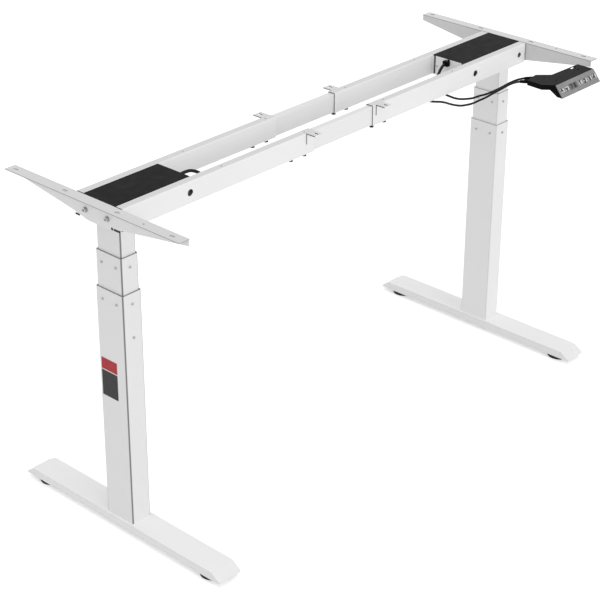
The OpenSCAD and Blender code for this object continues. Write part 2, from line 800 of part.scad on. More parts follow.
// Runs its children on the panel: +Z out of the panel, origin at its top left corner
module on_panel() {
    translate([hand_left, -hand_y, hand_z]) rotate([panel_tilt, 0, 0]) children();
}

// Body of the hand control: flat back part, sloped nose and the cable end
module handset_body() {
    nose_y = panel_l*cos(panel_tilt);
    nose_z = panel_l*sin(panel_tilt);
    in_y = panel_t*sin(panel_tilt);
    in_z = panel_t*cos(panel_tilt);
    lip_w = 2*(cap_lip + mill);
    color(jet) for (route = [wire_a_route, wire_b_route]) cable_boot(under_top(route));
    color(jet) difference() {
        union() {
            translate([hand_left, -hand_y, hand_z - hand_t]) linear_extrude(hand_t) polygon([
                [0, in_y], [hand_l, in_y], [hand_l, body_back], [step_x, body_back + step_back],
                [wing_in, wing_back], [-wing_out[0], wing_out[1]], [-wing_l, wing_front]]);
            translate([hand_left, -hand_y, hand_z]) rotate([90, 0, 90]) linear_extrude(hand_l)
                polygon([[in_y, -in_z], [in_y - nose_y, -in_z - nose_z],
                    [-nose_y*nose_share, -in_z - nose_z], [nose_y, -hand_t], [nose_y, -hand_t/2]]);
        }
        translate([hand_x - ear_x, ear_y - hand_y, hand_z - hand_t - cut])
            cylinder(d = ear_hole_d, h = hand_t + 2*cut);
        translate([hand_x - ear_x - notch_l/2, body_back - notch_deep - hand_y, hand_z]) {
            translate([0, 0, -hand_t - cut])
                cube([notch_l, notch_deep + step_back, hand_t - notch_rim + cut]);
            translate([0, 0, -hand_t/2]) cube([notch_l, notch_deep - notch_rim/2, hand_t]);
        }
        for (i = [0, 1]) translate([hand_left + rib_x + i*rib_pitch, rib_y - hand_y,
            hand_z - cap_rise]) cube([rib_l, rib_w, cut]);
        on_panel() for (p = button_places_share)
            translate([p*hand_l, -panel_l/2, -panel_t - mill - cap_lip_t - pocket_deep/2])
                cube([button_l + lip_w, button_w + lip_w, pocket_deep + 2*(cap_lip_t + mill)],
                    center = true);
    }
}

// Strain relief of one cable, from the hand control along the cable's first stretch
module cable_boot(route) {
    v = route[1] - route[0];
    translate(route[0]) rotate([0, acos(v[2]/norm(v)), atan2(v[1], v[0])])
        cylinder(d1 = boot_d[0], d2 = boot_d[1], h = norm(v));
}

// Sloped panel with an opening for each button and a shallow display window
module handset_panel() {
    color(grey) on_panel() difference() {
        translate([0, -panel_l, -panel_t]) cube([hand_l, panel_l, panel_t]);
        for (p = button_places_share) translate([p*hand_l, -panel_l/2, -panel_t/2])
            cube([button_l + 2*cap_gap, button_w + 2*cap_gap, 2*panel_t], center = true);
        translate([display_share*hand_l, -panel_l/2, 0])
            cube([display_l, display_w, 2*display_deep], center = true);
    }
}

// One button of the hand control; i is its place in the row
module button(i) {
    drop = panel_t + mill;
    color(jet) on_panel() translate([button_places_share[i]*hand_l, -panel_l/2, 0]) {
        translate([0, 0, (cap_rise - drop)/2])
            cube([button_l, button_w, cap_rise + drop], center = true);
        translate([0, 0, -drop - cap_lip_t/2])
            cube([button_l + 2*cap_lip, button_w + 2*cap_lip, cap_lip_t], center = true);
    }
}

foot(-1);  // left_foot
outer_tube(-1);  // left_outer_tube
base_post(-1);  // left_base_post
foot_bolts(-1);  // left_foot_bolts
outer_glides(-1);  // left_outer_glides
outer_screws(-1);  // left_outer_screws
foot(1);  // right_foot
outer_tube(1);  // right_outer_tube
base_post(1);  // right_base_post
foot_bolts(1);  // right_foot_bolts
outer_glides(1);  // right_outer_glides
outer_screws(1);  // right_outer_screws
leveller(-1, -1);  // left_front_leveller
leveller(-1, 1);  // left_rear_leveller
leveller(1, -1);  // right_front_leveller
leveller(1, 1);  // right_rear_leveller
middle_tube(-1);  // left_middle_tube
middle_glides(-1);  // left_middle_glides
middle_screws(-1);  // left_middle_screws
hollow_screw(-1);  // left_hollow_screw
middle_tube(1);  // right_middle_tube
middle_glides(1);  // right_middle_glides
middle_screws(1);  // right_middle_screws
hollow_screw(1);  // right_hollow_screw
inner_tube(-1);  // left_inner_tube
drive_box(-1);  // left_drive_box
gear_motor(-1);  // left_gear_motor
cover(-1);  // left_cover
beam(-1, -1);  // left_front_beam
beam(-1, 1);  // left_rear_beam
side_bracket(-1);  // left_side_bracket
bracket_bolts(-1);  // left_bracket_bolts
clamp_screws(-1);  // left_clamp_screws
drive_screw(-1);  // left_drive_screw
inner_tube(1);  // right_inner_tube
drive_box(1);  // right_drive_box
gear_motor(1);  // right_gear_motor
cover(1);  // right_cover
beam(1, -1);  // right_front_beam
beam(1, 1);  // right_rear_beam
side_bracket(1);  // right_side_bracket
bracket_bolts(1);  // right_bracket_bolts
clamp_screws(1);  // right_clamp_screws
drive_screw(1);  // right_drive_screw
rail(-1);  // front_rail
rail(1);  // rear_rail
control_box();
control_plug();
lead(under_top(lead_left_route));  // motor_lead_left
lead(under_top(lead_right_route));  // motor_lead_right
wire(under_top(wire_a_route));  // handset_cable_a
wire(under_top(wire_b_route));  // handset_cable_b
handset_body();
handset_panel();
button(0);  // button_up
button(1);  // button_down
button(2);  // button_1
button(3);  // button_2
button(4);  // button_3
button(5);  // button_4
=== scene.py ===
# Looks of a height-adjustable desk frame: finishes, cables, hand control details,
# camera and light. Everything is in metres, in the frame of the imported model.
import json
import math
import bmesh
import bpy
from mathutils import Matrix, Vector


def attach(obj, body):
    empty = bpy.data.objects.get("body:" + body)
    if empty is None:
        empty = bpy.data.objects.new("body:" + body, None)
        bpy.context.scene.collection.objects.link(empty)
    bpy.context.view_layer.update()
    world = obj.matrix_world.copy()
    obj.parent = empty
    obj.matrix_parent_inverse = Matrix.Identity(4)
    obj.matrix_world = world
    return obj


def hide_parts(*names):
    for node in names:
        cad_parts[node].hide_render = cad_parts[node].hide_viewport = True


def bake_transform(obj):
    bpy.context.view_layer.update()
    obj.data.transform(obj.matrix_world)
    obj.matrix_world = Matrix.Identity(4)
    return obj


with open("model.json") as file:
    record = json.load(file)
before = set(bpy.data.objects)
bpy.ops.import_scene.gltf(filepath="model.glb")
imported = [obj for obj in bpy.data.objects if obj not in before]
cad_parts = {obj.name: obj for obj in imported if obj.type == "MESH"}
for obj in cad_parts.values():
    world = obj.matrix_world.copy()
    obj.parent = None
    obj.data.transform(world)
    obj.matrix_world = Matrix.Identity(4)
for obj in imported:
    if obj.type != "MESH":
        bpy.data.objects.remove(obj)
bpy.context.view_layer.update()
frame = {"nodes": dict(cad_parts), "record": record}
nodes = frame["nodes"]
UP = Vector((0, 0, 1))

# Camera at the photograph's viewpoint, measured in pixels of its square image
IMAGE = 600
FOCAL_PX = 1708.0
CENTRE_V = 240
CAMERA_AT = (-2.6252, -2.3271, 2.1586)
AZIMUTH, ELEVATION, ROLL = 47.573, 25.851, 0.224
SENSOR_MM = 36
FAR_CLIP = 100


def make_camera():
    """The camera, turned and tilted from level, and rolled a little."""
    data = bpy.data.cameras.new("camera")
    data.sensor_width = SENSOR_MM
    data.lens = FOCAL_PX / IMAGE * data.sensor_width
    data.shift_y = (CENTRE_V - IMAGE / 2) / IMAGE
    data.clip_end = FAR_CLIP
    camera = bpy.data.objects.new("camera", data)
    turn = Matrix.Rotation(-math.radians(AZIMUTH), 4, "Z")
    tilt = Matrix.Rotation(math.radians(90 - ELEVATION), 4, "X")
    roll = Matrix.Rotation(math.radians(ROLL), 4, "Z")
    camera.matrix_world = Matrix.Translation(CAMERA_AT) @ turn @ tilt @ roll
    bpy.context.scene.collection.objects.link(camera)
    bpy.context.scene.camera = camera


# Materials made of nodes
NOISE_MIDDLE = (0.3, 0.7)

# Places of a colour mix node's two colours among its inputs, and of the mix among its outputs
MIX_A, MIX_B, MIX_OUT = 6, 7, 2


class Finish:
    """A procedural material on one principled shader, in the object's own metres."""

    def __init__(self, name, colour, rough, metallic=0.0, **sockets):
        self.material = bpy.data.materials.new(name)
        self.material.use_nodes = True
        self.tree = self.material.node_tree
        self.shader = self.tree.nodes["Principled BSDF"]
        self.place = self.tree.nodes.new("ShaderNodeTexCoord").outputs["Object"]
        self.colour = colour
        self.set(self.shader, Roughness=rough, Metallic=metallic, **sockets)
        self.shader.inputs["Base Color"].default_value = (*colour, 1)
        self.bumps = None
        self.tint = None

    @staticmethod
    def set(node, **values):
        for key, value in values.items():
            node.inputs[key.replace("_", " ")].default_value = value

    def new(self, kind, **properties):
        node = self.tree.nodes.new(kind)
        for key, value in properties.items():
            setattr(node, key, value)
        return node

    def link(self, a, b):
        self.tree.links.new(a, b)

    def noise(self, size, detail=2.0):
        """Noise whose features are about size metres across."""
        scale = self.new("ShaderNodeMapping")
        scale.inputs["Scale"].default_value = (1 / size,) * 3
        self.link(self.place, scale.inputs["Vector"])
        noise = self.new("ShaderNodeTexNoise")
        self.set(noise, Scale=1.0, Detail=detail)
        self.link(scale.outputs["Vector"], noise.inputs["Vector"])
        return noise.outputs["Fac"]

    def remap(self, value, source, target, **properties):
        """Maps one range of a value to another."""
        node = self.new("ShaderNodeMapRange", **properties)
        self.link(value, node.inputs["Value"])
        for key, number in zip(("From Min", "From Max", "To Min", "To Max"), source + target):
            node.inputs[key].default_value = number
        return node.outputs["Result"]

    def levels(self, value, low, high):
        """Maps the middle of a noise to the range from low to high."""
        return self.remap(value, NOISE_MIDDLE, (low, high))

    def math(self, operation, *values):
        """A math node on numbers and outputs."""
        node = self.new("ShaderNodeMath", operation=operation)
        for socket, value in zip(node.inputs, values):
            if isinstance(value, (int, float)):
                socket.default_value = value
            else:
                self.link(value, socket)
        return node.outputs[0]

    def mottle(self, size, dark, light):
        """Varies the colour's value between two shares, in patches of a size."""
        self.shade(self.levels(self.noise(size), dark, light))

    def shade(self, factor):
        """Multiplies the colour by a factor."""
        mix = self.new("ShaderNodeMix", data_type="RGBA", blend_type="MULTIPLY")
        mix.inputs["Factor"].default_value = 1
        if self.tint is None:
            mix.inputs[MIX_A].default_value = (*self.colour, 1)
        else:
            self.link(self.tint, mix.inputs[MIX_A])
        self.link(factor, mix.inputs[MIX_B])
        self.tint = mix.outputs[MIX_OUT]
        self.link(self.tint, self.shader.inputs["Base Color"])

    def rough_patches(self, size, low, high):
        self.link(self.levels(self.noise(size, detail=3), low, high), self.shader.inputs["Roughness"])

    def bump(self, height, depth):
        """Adds a bump of a depth in metres."""
        node = self.new("ShaderNodeBump")
        self.set(node, Strength=1.0, Distance=depth)
        self.link(height, node.inputs["Height"])
        if self.bumps is not None:
            self.link(self.bumps, node.inputs["Normal"])
        self.bumps = node.outputs["Normal"]
        self.link(self.bumps, self.shader.inputs["Normal"])


# Ranges over which the painted-shade masks below step, in parts of a face's normal
CORNER_STEP = (0.08, 0.3)
END_STEP = (0.85, 0.98)
TOP_STEP = (0.8, 0.98)
FLANK_STEP = (-0.97, -0.8)
UPRIGHT_STEP = (0.3, 0.7)
# Underside of the brackets' top plates, in the object's own height
PLATE_HEIGHTS = (0.777, 0.7776)


def powder_coat(name, colour, corner=1.0, **masks):
    """Satin powder coat: fine orange peel and soft patches, with painted shade and a painted
    reflection by share on corners and faces.
    """
    f = Finish(name, colour, 0.42, Coat_Weight=0.15, Coat_Roughness=0.25)
    f.mottle(size=0.18, dark=0.985, light=1.0)
    f.rough_patches(size=0.03, low=0.38, high=0.48)
    f.bump(f.noise(0.0022, detail=3), depth=0.00012)
    f.bump(f.noise(0.012, detail=2), depth=0.0001)
    if corner < 1:
        f.shade(upright_corners_painted_reflection(f, corner))
    paint_shade_on_faces(f, masks)
    return f.material


def axis_part(f, output, axis):
    """One coordinate of a vector output."""
    parts = f.new("ShaderNodeSeparateXYZ")
    f.link(output, parts.inputs[0])
    return parts.outputs[axis]


def world_normal(f, axis):
    return axis_part(f, f.new("ShaderNodeNewGeometry").outputs["Normal"], axis)


def step_share(f, value, source, share):
    """1 below the source range, a share above it, and a soft step between them."""
    return f.remap(value, source, (1, share), interpolation_type="SMOOTHSTEP")


def upright_corners_painted_reflection(f, share):
    """1 on flat faces and a share on the rounded upright corners of a tube: a painted dark reflection
    along each corner.
    """
    product = f.math("MULTIPLY", world_normal(f, "X"), world_normal(f, "Y"))
    return step_share(f, f.math("ABSOLUTE", product), CORNER_STEP, share)


def cut_ends_painted_shade(f, share):
    """Edges cut across the beams, which look along them, darkened as painted shade."""
    return step_share(f, f.math("ABSOLUTE", world_normal(f, "X")), END_STEP, share)


def top_faces_painted_shade(f, share):
    # Painted shade: faces that look upward are darkened to the share.
    return step_share(f, world_normal(f, "Z"), TOP_STEP, share)


def flanks(f, share):
    """Faces that don't look upward, darkened as painted shade."""
    return step_share(f, f.math("MULTIPLY", world_normal(f, "Z"), -1), FLANK_STEP, share)


def top_edge_painted_shade(f, share):
    """Upright faces within the thickness of the top plate, slots included: a painted shade line along
    the plate's edge.
    """
    below = step_share(f, axis_part(f, f.place, "Z"), PLATE_HEIGHTS, 0)
    upright = step_share(f, world_normal(f, "Z"), UPRIGHT_STEP, 0)
    return step_share(f, f.math("MULTIPLY", f.math("SUBTRACT", 1, below), upright), (0, 1), share)


# Masks of painted shade, by the name of their share
PAINTED_SHADE_MASKS = {"ends": cut_ends_painted_shade, "tops": top_faces_painted_shade, "edge": top_edge_painted_shade, "flanks": flanks}


def paint_shade_on_faces(f, masks):
    """Darkens the faces of each named mask to its share, as painted shade."""
    for mask, share in masks.items():
        f.shade(PAINTED_SHADE_MASKS[mask](f, share))


def black_sheet():
    f = Finish("lid_black", (0.012, 0.012, 0.0125), 0.62, Specular_IOR_Level=0.05)
    f.mottle(size=0.06, dark=0.85, light=1.1)
    f.rough_patches(size=0.02, low=0.5, high=0.62)
    f.bump(f.noise(0.0016, detail=4), depth=0.00018)
    return f.material


def plastic(name, colour, rough, grain=0.0012, shine=0.3, **masks):
    f = Finish(name, colour, rough, Specular_IOR_Level=shine)
    f.mottle(size=0.01, dark=0.9, light=1.06)
    f.rough_patches(size=0.006, low=rough - 0.06, high=rough + 0.06)
    f.bump(f.noise(grain, detail=4), depth=0.00008)
    paint_shade_on_faces(f, masks)
    return f.material


def metal(name, colour, rough):
    f = Finish(name, colour, rough, 1.0)
    f.mottle(size=0.004, dark=0.8, light=1.08)
    f.rough_patches(size=0.003, low=rough - 0.08, high=rough + 0.12)
    f.bump(f.noise(0.0008, detail=3), depth=0.00004)
    return f.material


def cable_skin():
    f = Finish("cable_black", (0.008, 0.008, 0.0085), 0.45, Specular_IOR_Level=0.2)
    f.mottle(size=0.02, dark=0.8, light=1.15)
    f.bump(f.noise(0.004, detail=2), depth=0.0001)
    return f.material


def rubber():
    f = Finish("rubber_black", (0.014, 0.014, 0.014), 0.75)
    f.mottle(size=0.01, dark=0.8, light=1.3)
    f.bump(f.noise(0.001, detail=3), depth=0.0001)
    return f.material


# Finishes by slot, or by family of pieces where one slot has several looks
WHITE = (0.84, 0.84, 0.84)
look = {
    "white_powder_coat": powder_coat("coat_white", WHITE),
    # Lit and shaded copies of the one white powder coat for feet, beams, brackets and columns:
    # brighter or darker by family, with painted shade and a painted reflection from their masks
    "foot": powder_coat("coat_white_foot_painted_shade", (0.97, 0.97, 0.97), flanks=0.86),
    "beam": powder_coat("coat_white_beam_painted_shade", (0.87, 0.87, 0.87), ends=0.04, tops=0.84),
    "bracket_left": powder_coat("coat_white_left_bracket_painted_shade", WHITE, tops=0.86, edge=0.55),
    "bracket_right": powder_coat("coat_white_right_bracket_painted_shade", WHITE, tops=0.88, edge=0.7, flanks=0.74),
    "column_left": powder_coat("coat_white_left_column_painted_shade", (0.8, 0.8, 0.8), corner=0.22),
    "column_right": powder_coat("coat_white_right_column_painted_shade", WHITE, corner=0.8),
    "black_sheet": black_sheet(),
    "black_painted_metal": plastic("motor_black", (0.02, 0.02, 0.022), 0.4),
    "zinc_steel": metal("screw_zinc", (0.5, 0.505, 0.51), 0.34),
    "black_steel": metal("oxide_black", (0.06, 0.06, 0.06), 0.45),
    "grey_plastic": plastic("panel_grey", (0.26, 0.26, 0.265), 0.5),
    # Key caps in light grey: their own colour, made pale enough that the part beside each mark also
    # stands as a painted highlight
    "key_cap_and_highlight": plastic("key_grey_and_highlight", (0.6, 0.6, 0.605), 0.45),
    # Black plastic whose sides are darkened as painted shade
    "black_plastic": plastic("plastic_black_painted_shade", (0.015, 0.015, 0.016), 0.5, shine=0.04, flanks=0.2),
    "black_rubber": rubber(),
    "cable_sheath": cable_skin(),
    "mark": plastic("mark_black", (0.015, 0.015, 0.015), 0.45),
    # Grey lips as painted shade for the gap at the tube tops, darker on the left than on the right
    "lip_dark_painted_shade": plastic("lip_dark_painted_shade", (0.25, 0.25, 0.252), 0.5),
    "lip_pale_painted_shade": plastic("lip_pale_painted_shade", (0.5, 0.5, 0.5), 0.5),
    "window": plastic("display_grey", (0.15, 0.155, 0.15), 0.16, grain=0.01),
    "label_red": plastic("label_red", (0.42, 0.016, 0.03), 0.45, grain=0.003),
    "label_black": plastic("label_black", (0.016, 0.016, 0.016), 0.45, grain=0.003),
    "label_white": plastic("label_white", (0.8, 0.8, 0.8), 0.5, grain=0.003),
}
# Slot that the record gives each node
slot_of = {s["node"]: s["material_slot"] for s in frame["record"]["subparts"]}


def dress_nodes():
    """Each node of the CAD gets the finish of its slot, or that of its family of pieces."""
    for name, obj in nodes.items():
        key = slot_of[name]
        if name.endswith("_tube"):
            key = "column_left" if name.startswith("left") else "column_right"
        elif name.startswith("button"):
            key = "key_cap_and_highlight"
        elif name.endswith("_foot"):
            key = "foot"
        elif name.endswith("_beam"):
            key = "beam"
        elif name.endswith("_bracket"):
            key = "bracket_left" if name.startswith("left") else "bracket_right"
        elif name.endswith("clamp_screws"):
            key = "mark"
        obj.data.materials.clear()
        obj.data.materials.append(look[key])


# Pieces made here
def mesh_piece(name, bm, key, body, smooth=True):
    """A mesh object from bm that rides on a body, or stays free where body is None."""
    data = bpy.data.meshes.new(name)
    bm.to_mesh(data)
    bm.free()
    for face in data.polygons:
        face.use_smooth = smooth
    data.materials.append(look[key])
    obj = bpy.data.objects.new(name, data)
    bpy.context.scene.collection.objects.link(obj)
    if body:
        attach(obj, body)
    return obj


def spline(route, steps):
    """Points on a smooth curve through the route's points."""
    points = [Vector(p) for p in route]

    def at(i):
        return points[max(0, min(len(points) - 1, i))]

    out = []
    for i in range(len(points) - 1):
        a, b, c, d = at(i - 1), at(i), at(i + 1), at(i + 2)
        for k in range(steps):
            t = k / steps
            out.append(0.5 * (2 * b + (c - a) * t + (2 * a - 5 * b + 4 * c - d) * t * t
                              + (3 * b - a - 3 * c + d) * t ** 3))
    return out + [points[-1]]


# From this rise on, a section is set square by the Y axis and no longer by the vertical
STEEP = 0.9


def sweep(bm, points, radius, sides):
    """A closed round tube through the points."""
    rings = []
    side = None
    for i, p in enumerate(points):
        ahead = (points[min(i + 1, len(points) - 1)] - points[max(i - 1, 0)]).normalized()
        if side is None:
            side = ahead.cross(UP if abs(ahead.z) < STEEP else Vector((0, 1, 0))).normalized()
        side = (side - ahead * side.dot(ahead)).normalized()
        other = ahead.cross(side)
        ring = []
        for k in range(sides):
            a = 2 * math.pi * k / sides
            ring.append(bm.verts.new(p + radius * (math.cos(a) * side + math.sin(a) * other)))
        rings.append(ring)
    bridge(bm, rings)
    bm.faces.new(list(reversed(rings[0])))
    bm.faces.new(rings[-1])


# Cables: diameters, sides of their section, curve steps from point to point, and the points of their
# routes
MM = 0.001
LEAD_D, LEAD_SIDES, LEAD_STEPS = 7 * MM, 20, 8
WIRE_D, WIRE_SIDES, WIRE_STEPS = 5 * MM, 16, 6
LEAD_LEFT = [
    (-528, 0, 755), (-516, 0, 755), (-500, -3, 759), (-480, -9, 767), (-460, -12, 770),
    (-444, -15, 774), (-430, -21, 775), (-420, -32, 771), (-412, -40, 760),
    (-400, -42, 750), (-380, -42, 744), (-350, -42, 742), (-240, -42, 742),
    (-120, -42, 742), (0, -42, 742)]
LEAD_RIGHT = [
    (0, -42, 742), (110, -42, 742), (220, -42, 742), (330, -42, 742), (350, -40, 742),
    (368, -32, 742), (382, -19, 742), (394, -6, 744), (403, 1, 746), (410, 4, 750),
    (415, 5, 755), (419, 5, 759.5), (423.5, 4.5, 764), (427.5, 4, 766.8), (430.3, 4, 767.2)]
WIRE_A = [
    (492, -212, 771), (481, -192, 769), (468, -181, 766), (453, -171, 760),
    (438, -159, 750), (427, -145, 740), (418, -130, 731), (411, -116, 725),
    (402, -104, 719), (391, -92, 717), (381, -82, 717), (374, -72, 719), (369, -62, 722),
    (367, -52, 724), (370, -42, 726), (378, -34, 729), (390, -28, 735), (402, -25, 740),
    (416, -23, 743), (430, -22, 744), (438, -22, 744), (443, -22, 744)]
WIRE_B = [
    (470, -218, 771), (459, -196, 768), (447, -180, 762), (432, -166, 751),
    (420, -151, 739), (408, -138, 728), (399, -126, 720), (390, -114, 712),
    (380, -103, 708), (370, -95, 707), (360, -87, 709), (349, -80, 713), (338, -73, 718),
    (328, -67, 721), (318, -59, 722), (312, -48, 722), (314, -37, 721), (324, -29, 720),
    (340, -27, 719), (360, -29, 719), (378, -31, 720), (396, -32, 727), (406, -32, 732),
    (415, -31, 739), (425, -31, 743), (436, -30, 744), (443, -30, 744)]


def metres(route):
    return [tuple(c * MM for c in p) for p in route]


def motor_leads():
    """The left motor's lead, in two halves that meet in the middle; both stay free of the moving
    bodies.
    """
    for side, route in (("left", LEAD_LEFT), ("right", LEAD_RIGHT)):
        bm = bmesh.new()
        sweep(bm, spline(metres(route), LEAD_STEPS), LEAD_D / 2, LEAD_SIDES)
        obj = mesh_piece(f"lead_{side}", bm, "cable_sheath", None)
        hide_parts(f"motor_lead_{side}")
        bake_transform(obj)


def handset_cables():
    for name, route in (("a", WIRE_A), ("b", WIRE_B)):
        points = spline(metres(route), WIRE_STEPS)
        bm = bmesh.new()
        sweep(bm, points, WIRE_D / 2, WIRE_SIDES)
        obj = mesh_piece(f"control_cable_{name}", bm, "cable_sheath", "head_right")
        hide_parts(f"handset_cable_{name}")


# The hand control's panel: its top left corner, its slope, and where its keys and
# display stand as shares of its length
PANEL_CORNER = Vector((0.4775, -0.2825, 0.776))
PANEL_TURN = Matrix.Rotation(math.radians(51), 3, "X")
PANEL_SIZE = (0.152, 0.034)
KEY_SHARES = {"up": 0.075, "down": 0.198, "1": 0.555, "2": 0.68, "3": 0.805, "4": 0.93}
DISPLAY_SHARE = 0.365

# Heights over the panel: the caps' faces, the display's back and the figures' back
KEY_RISE = 0.0007
DISPLAY_SINK = -0.0005
FIGURE_SINK = -0.0001

# Marks on the caps and figures on the display: height, half a stroke's width, thickness
# and distance from the middle of what they are on
# The marks are drawn bold and sit left of each cap's middle, so they also stand as painted shade for
# each key's dark left side
MARK_SIZE, MARK_HALF, MARK_T, MARK_SHIFT = 0.0078, 0.0017, 0.0002, -0.002
FIGURE_SIZE, FIGURE_HALF, FIGURE_T, FIGURE_SHIFT = 0.0096, 0.0014, 0.00015, 0.0066
DISPLAY_SIZE, DISPLAY_RADIUS, DISPLAY_T = (0.0314, 0.0144), 0.0012, 0.0004

# Lines of each symbol, in parts of its height
SYMBOLS = {
    "up": [[(-0.42, -0.3), (0, 0.42), (0.42, -0.3)]],
    "down": [[(-0.42, 0.3), (0, -0.42), (0.42, 0.3)]],
    "1": [[(-0.3, 0.28), (0.05, 0.5), (0.05, -0.5)]],
    "2": [[(-0.3, 0.26), (-0.2, 0.44), (0, 0.5), (0.22, 0.43), (0.3, 0.24), (0.22, 0.05),
           (-0.3, -0.48), (0.34, -0.48)]],
    "3": [[(-0.28, 0.4), (0, 0.5), (0.24, 0.4), (0.26, 0.18), (0.02, 0.04), (0.28, -0.12),
           (0.3, -0.34), (0.06, -0.5), (-0.3, -0.38)]],
    "4": [[(0.16, -0.5), (0.16, 0.5), (-0.34, -0.18), (0.38, -0.18)]],
    "7": [[(-0.3, 0.5), (0.3, 0.5), (-0.06, -0.5)]],
    "8": [[(0, 0.02), (-0.26, 0.24), (-0.18, 0.44), (0, 0.5), (0.18, 0.44), (0.26, 0.24), (0, 0.02),
           (-0.3, -0.22), (-0.22, -0.43), (0, -0.5), (0.22, -0.43), (0.3, -0.22), (0, 0.02)]],
}


def panel_frame(share, across, out):
    """Maps points on the sloped panel, from a share of its length, to the frame."""
    middle = Vector((share * PANEL_SIZE[0] + across, -PANEL_SIZE[1] / 2, out))
    return lambda x, y, z: PANEL_CORNER + PANEL_TURN @ (middle + Vector((x, y, z)))


# Least cosine that a corner's mitre is worked out with
MITRE_LIMIT = 0.45


def ribbon(bm, place, line, half, thick):
    """A flat raised stroke along a line, mitred at its corners."""
    line = [Vector(p) for p in line]
    rows = []
    for i, p in enumerate(line):
        before = (p - line[i - 1]).normalized() if i else (line[1] - p).normalized()
        after = (line[i + 1] - p).normalized() if i + 1 < len(line) else before
        tangent = (before + after).normalized()
        side = Vector((-tangent.y, tangent.x))
        reach = half / max(MITRE_LIMIT, side.dot(Vector((-before.y, before.x))))
        ends = [p + side * reach, p - side * reach]
        rows.append([bm.verts.new(place(e.x, e.y, z)) for e in ends for z in (0, thick)])
    for a, b in zip(rows, rows[1:]):
        for k, j in ((0, 1), (1, 3), (3, 2), (2, 0)):
            bm.faces.new((a[k], a[j], b[j], b[k]))
    bm.faces.new((rows[0][0], rows[0][2], rows[0][3], rows[0][1]))
    bm.faces.new((rows[-1][1], rows[-1][3], rows[-1][2], rows[-1][0]))


def symbol(name, place, key, size, half, thick, body):
    """One of the symbols as raised black strokes."""
    bm = bmesh.new()
    for line in SYMBOLS[key]:
        ribbon(bm, place, [(x * size, y * size) for x, y in line], half, thick)
    bmesh.ops.recalc_face_normals(bm, faces=bm.faces)
    mesh_piece(name, bm, "mark", body, smooth=False)


# Corners of a rectangle as signs, with the angle at which each one's arc starts
CORNERS = ((1, 1, 0), (-1, 1, 90), (-1, -1, 180), (1, -1, 270))
PLATE_STEPS, LIP_STEPS = 5, 4
RIM_INSET = 0.3


def rounded(size, radius, inset, steps):
    """Points round a rectangle with rounded corners, moved in by an inset at the corners' arcs."""
    out = []
    for cx, cy, start in CORNERS:
        for k in range(steps + 1):
            a = math.radians(start + 90 * k / steps)
            out.append((cx * (size[0] / 2 - radius) + (radius - inset) * math.cos(a),
                        cy * (size[1] / 2 - radius) + (radius - inset) * math.sin(a)))
    return out


def bridge(bm, rows):
    """Faces between each closed row of points and the next."""
    for low, high in zip(rows, rows[1:]):
        for k in range(len(low)):
            j = (k + 1) % len(low)
            bm.faces.new((low[k], low[j], high[j], high[k]))


def plate(bm, place, size, radius, thick):
    """A flat plate with rounded corners and a small rounded rim, centred on its place."""
    rim = thick / 2
    rows = []
    for inset, height in ((0, 0), (0, thick - rim), (rim * RIM_INSET, thick - rim * RIM_INSET),
                          (rim, thick)):
        rows.append([bm.verts.new(place(x, y, height))
                     for x, y in rounded(size, radius, inset, PLATE_STEPS)])
    bridge(bm, rows)
    bm.faces.new(list(reversed(rows[0])))
    bm.faces.new(rows[-1])


def handset_details():
    """Symbols on the buttons, and the display with two figures on it."""
    for key, share in KEY_SHARES.items():
        place = panel_frame(share, MARK_SHIFT, KEY_RISE)
        symbol(f"mark_{key}", place, key, MARK_SIZE, MARK_HALF, MARK_T, f"button_{key}_cap")
    bm = bmesh.new()
    place = panel_frame(DISPLAY_SHARE, 0, DISPLAY_SINK)
    plate(bm, place, DISPLAY_SIZE, DISPLAY_RADIUS, DISPLAY_T)
    mesh_piece("display_window", bm, "window", "head_right", smooth=False)
    for name, key, across in (("tens", "7", -FIGURE_SHIFT), ("ones", "8", FIGURE_SHIFT)):
        place = panel_frame(DISPLAY_SHARE, across, FIGURE_SINK)
        symbol(f"display_{name}", place, key, FIGURE_SIZE, FIGURE_HALF, FIGURE_T, "head_right")


# The column's label: its middle, size, thickness, white edge and the height of its red field
LABEL_AT = Vector((-0.645, 0.011, 0.367))
LABEL_SIZE, LABEL_RADIUS = (0.052, 0.094), 0.002
LABEL_T = 0.00016
LABEL_EDGE = 0.0022
LABEL_RED_H = 0.027
FIELD_RADIUS, FIELD_T = 0.001, LABEL_T / 4


def label_frame(up, out):
    """Maps points on the left column's outer side to the frame, seen from that side."""
    return lambda x, y, z: LABEL_AT + Vector((-out - z, -x, up + y))


def bare_label():
    """The column's label, without any text: a white sheet with a red and a black field."""
    black_h = LABEL_SIZE[1] - LABEL_RED_H - 3 * LABEL_EDGE
    wide = LABEL_SIZE[0] - 2 * LABEL_EDGE
    bm = bmesh.new()
    plate(bm, label_frame(0, 0), LABEL_SIZE, LABEL_RADIUS, LABEL_T)
    mesh_piece("label_sheet", bm, "label_white", "base_left", smooth=False)
    for name, high, up in (("red", LABEL_RED_H, LABEL_SIZE[1] / 2 - LABEL_EDGE - LABEL_RED_H / 2),
                           ("black", black_h, black_h / 2 + LABEL_EDGE - LABEL_SIZE[1] / 2)):
        bm = bmesh.new()
        plate(bm, label_frame(up, LABEL_T), (wide, high), FIELD_RADIUS, FIELD_T)
        mesh_piece(f"label_{name}", bm, "label_" + name, "base_left", smooth=False)


# Black pieces on the brackets' webs, as painted shade for the open beam ends and a round hole: place
# along y and size of each, on the web's outer face
SHADE_INSERTS = {"rear": (0.062, (0.014, 0.0044)), "front": (-0.0535, (0.019, 0.005)),
           "round": (-0.0395, (0.0064, 0.0064))}
WEB_FACE_X, SHADE_INSERT_Z, SHADE_INSERT_T = 0.6625, 0.7312, 0.0008
SHADE_INSERT_FLAT = 0.0002


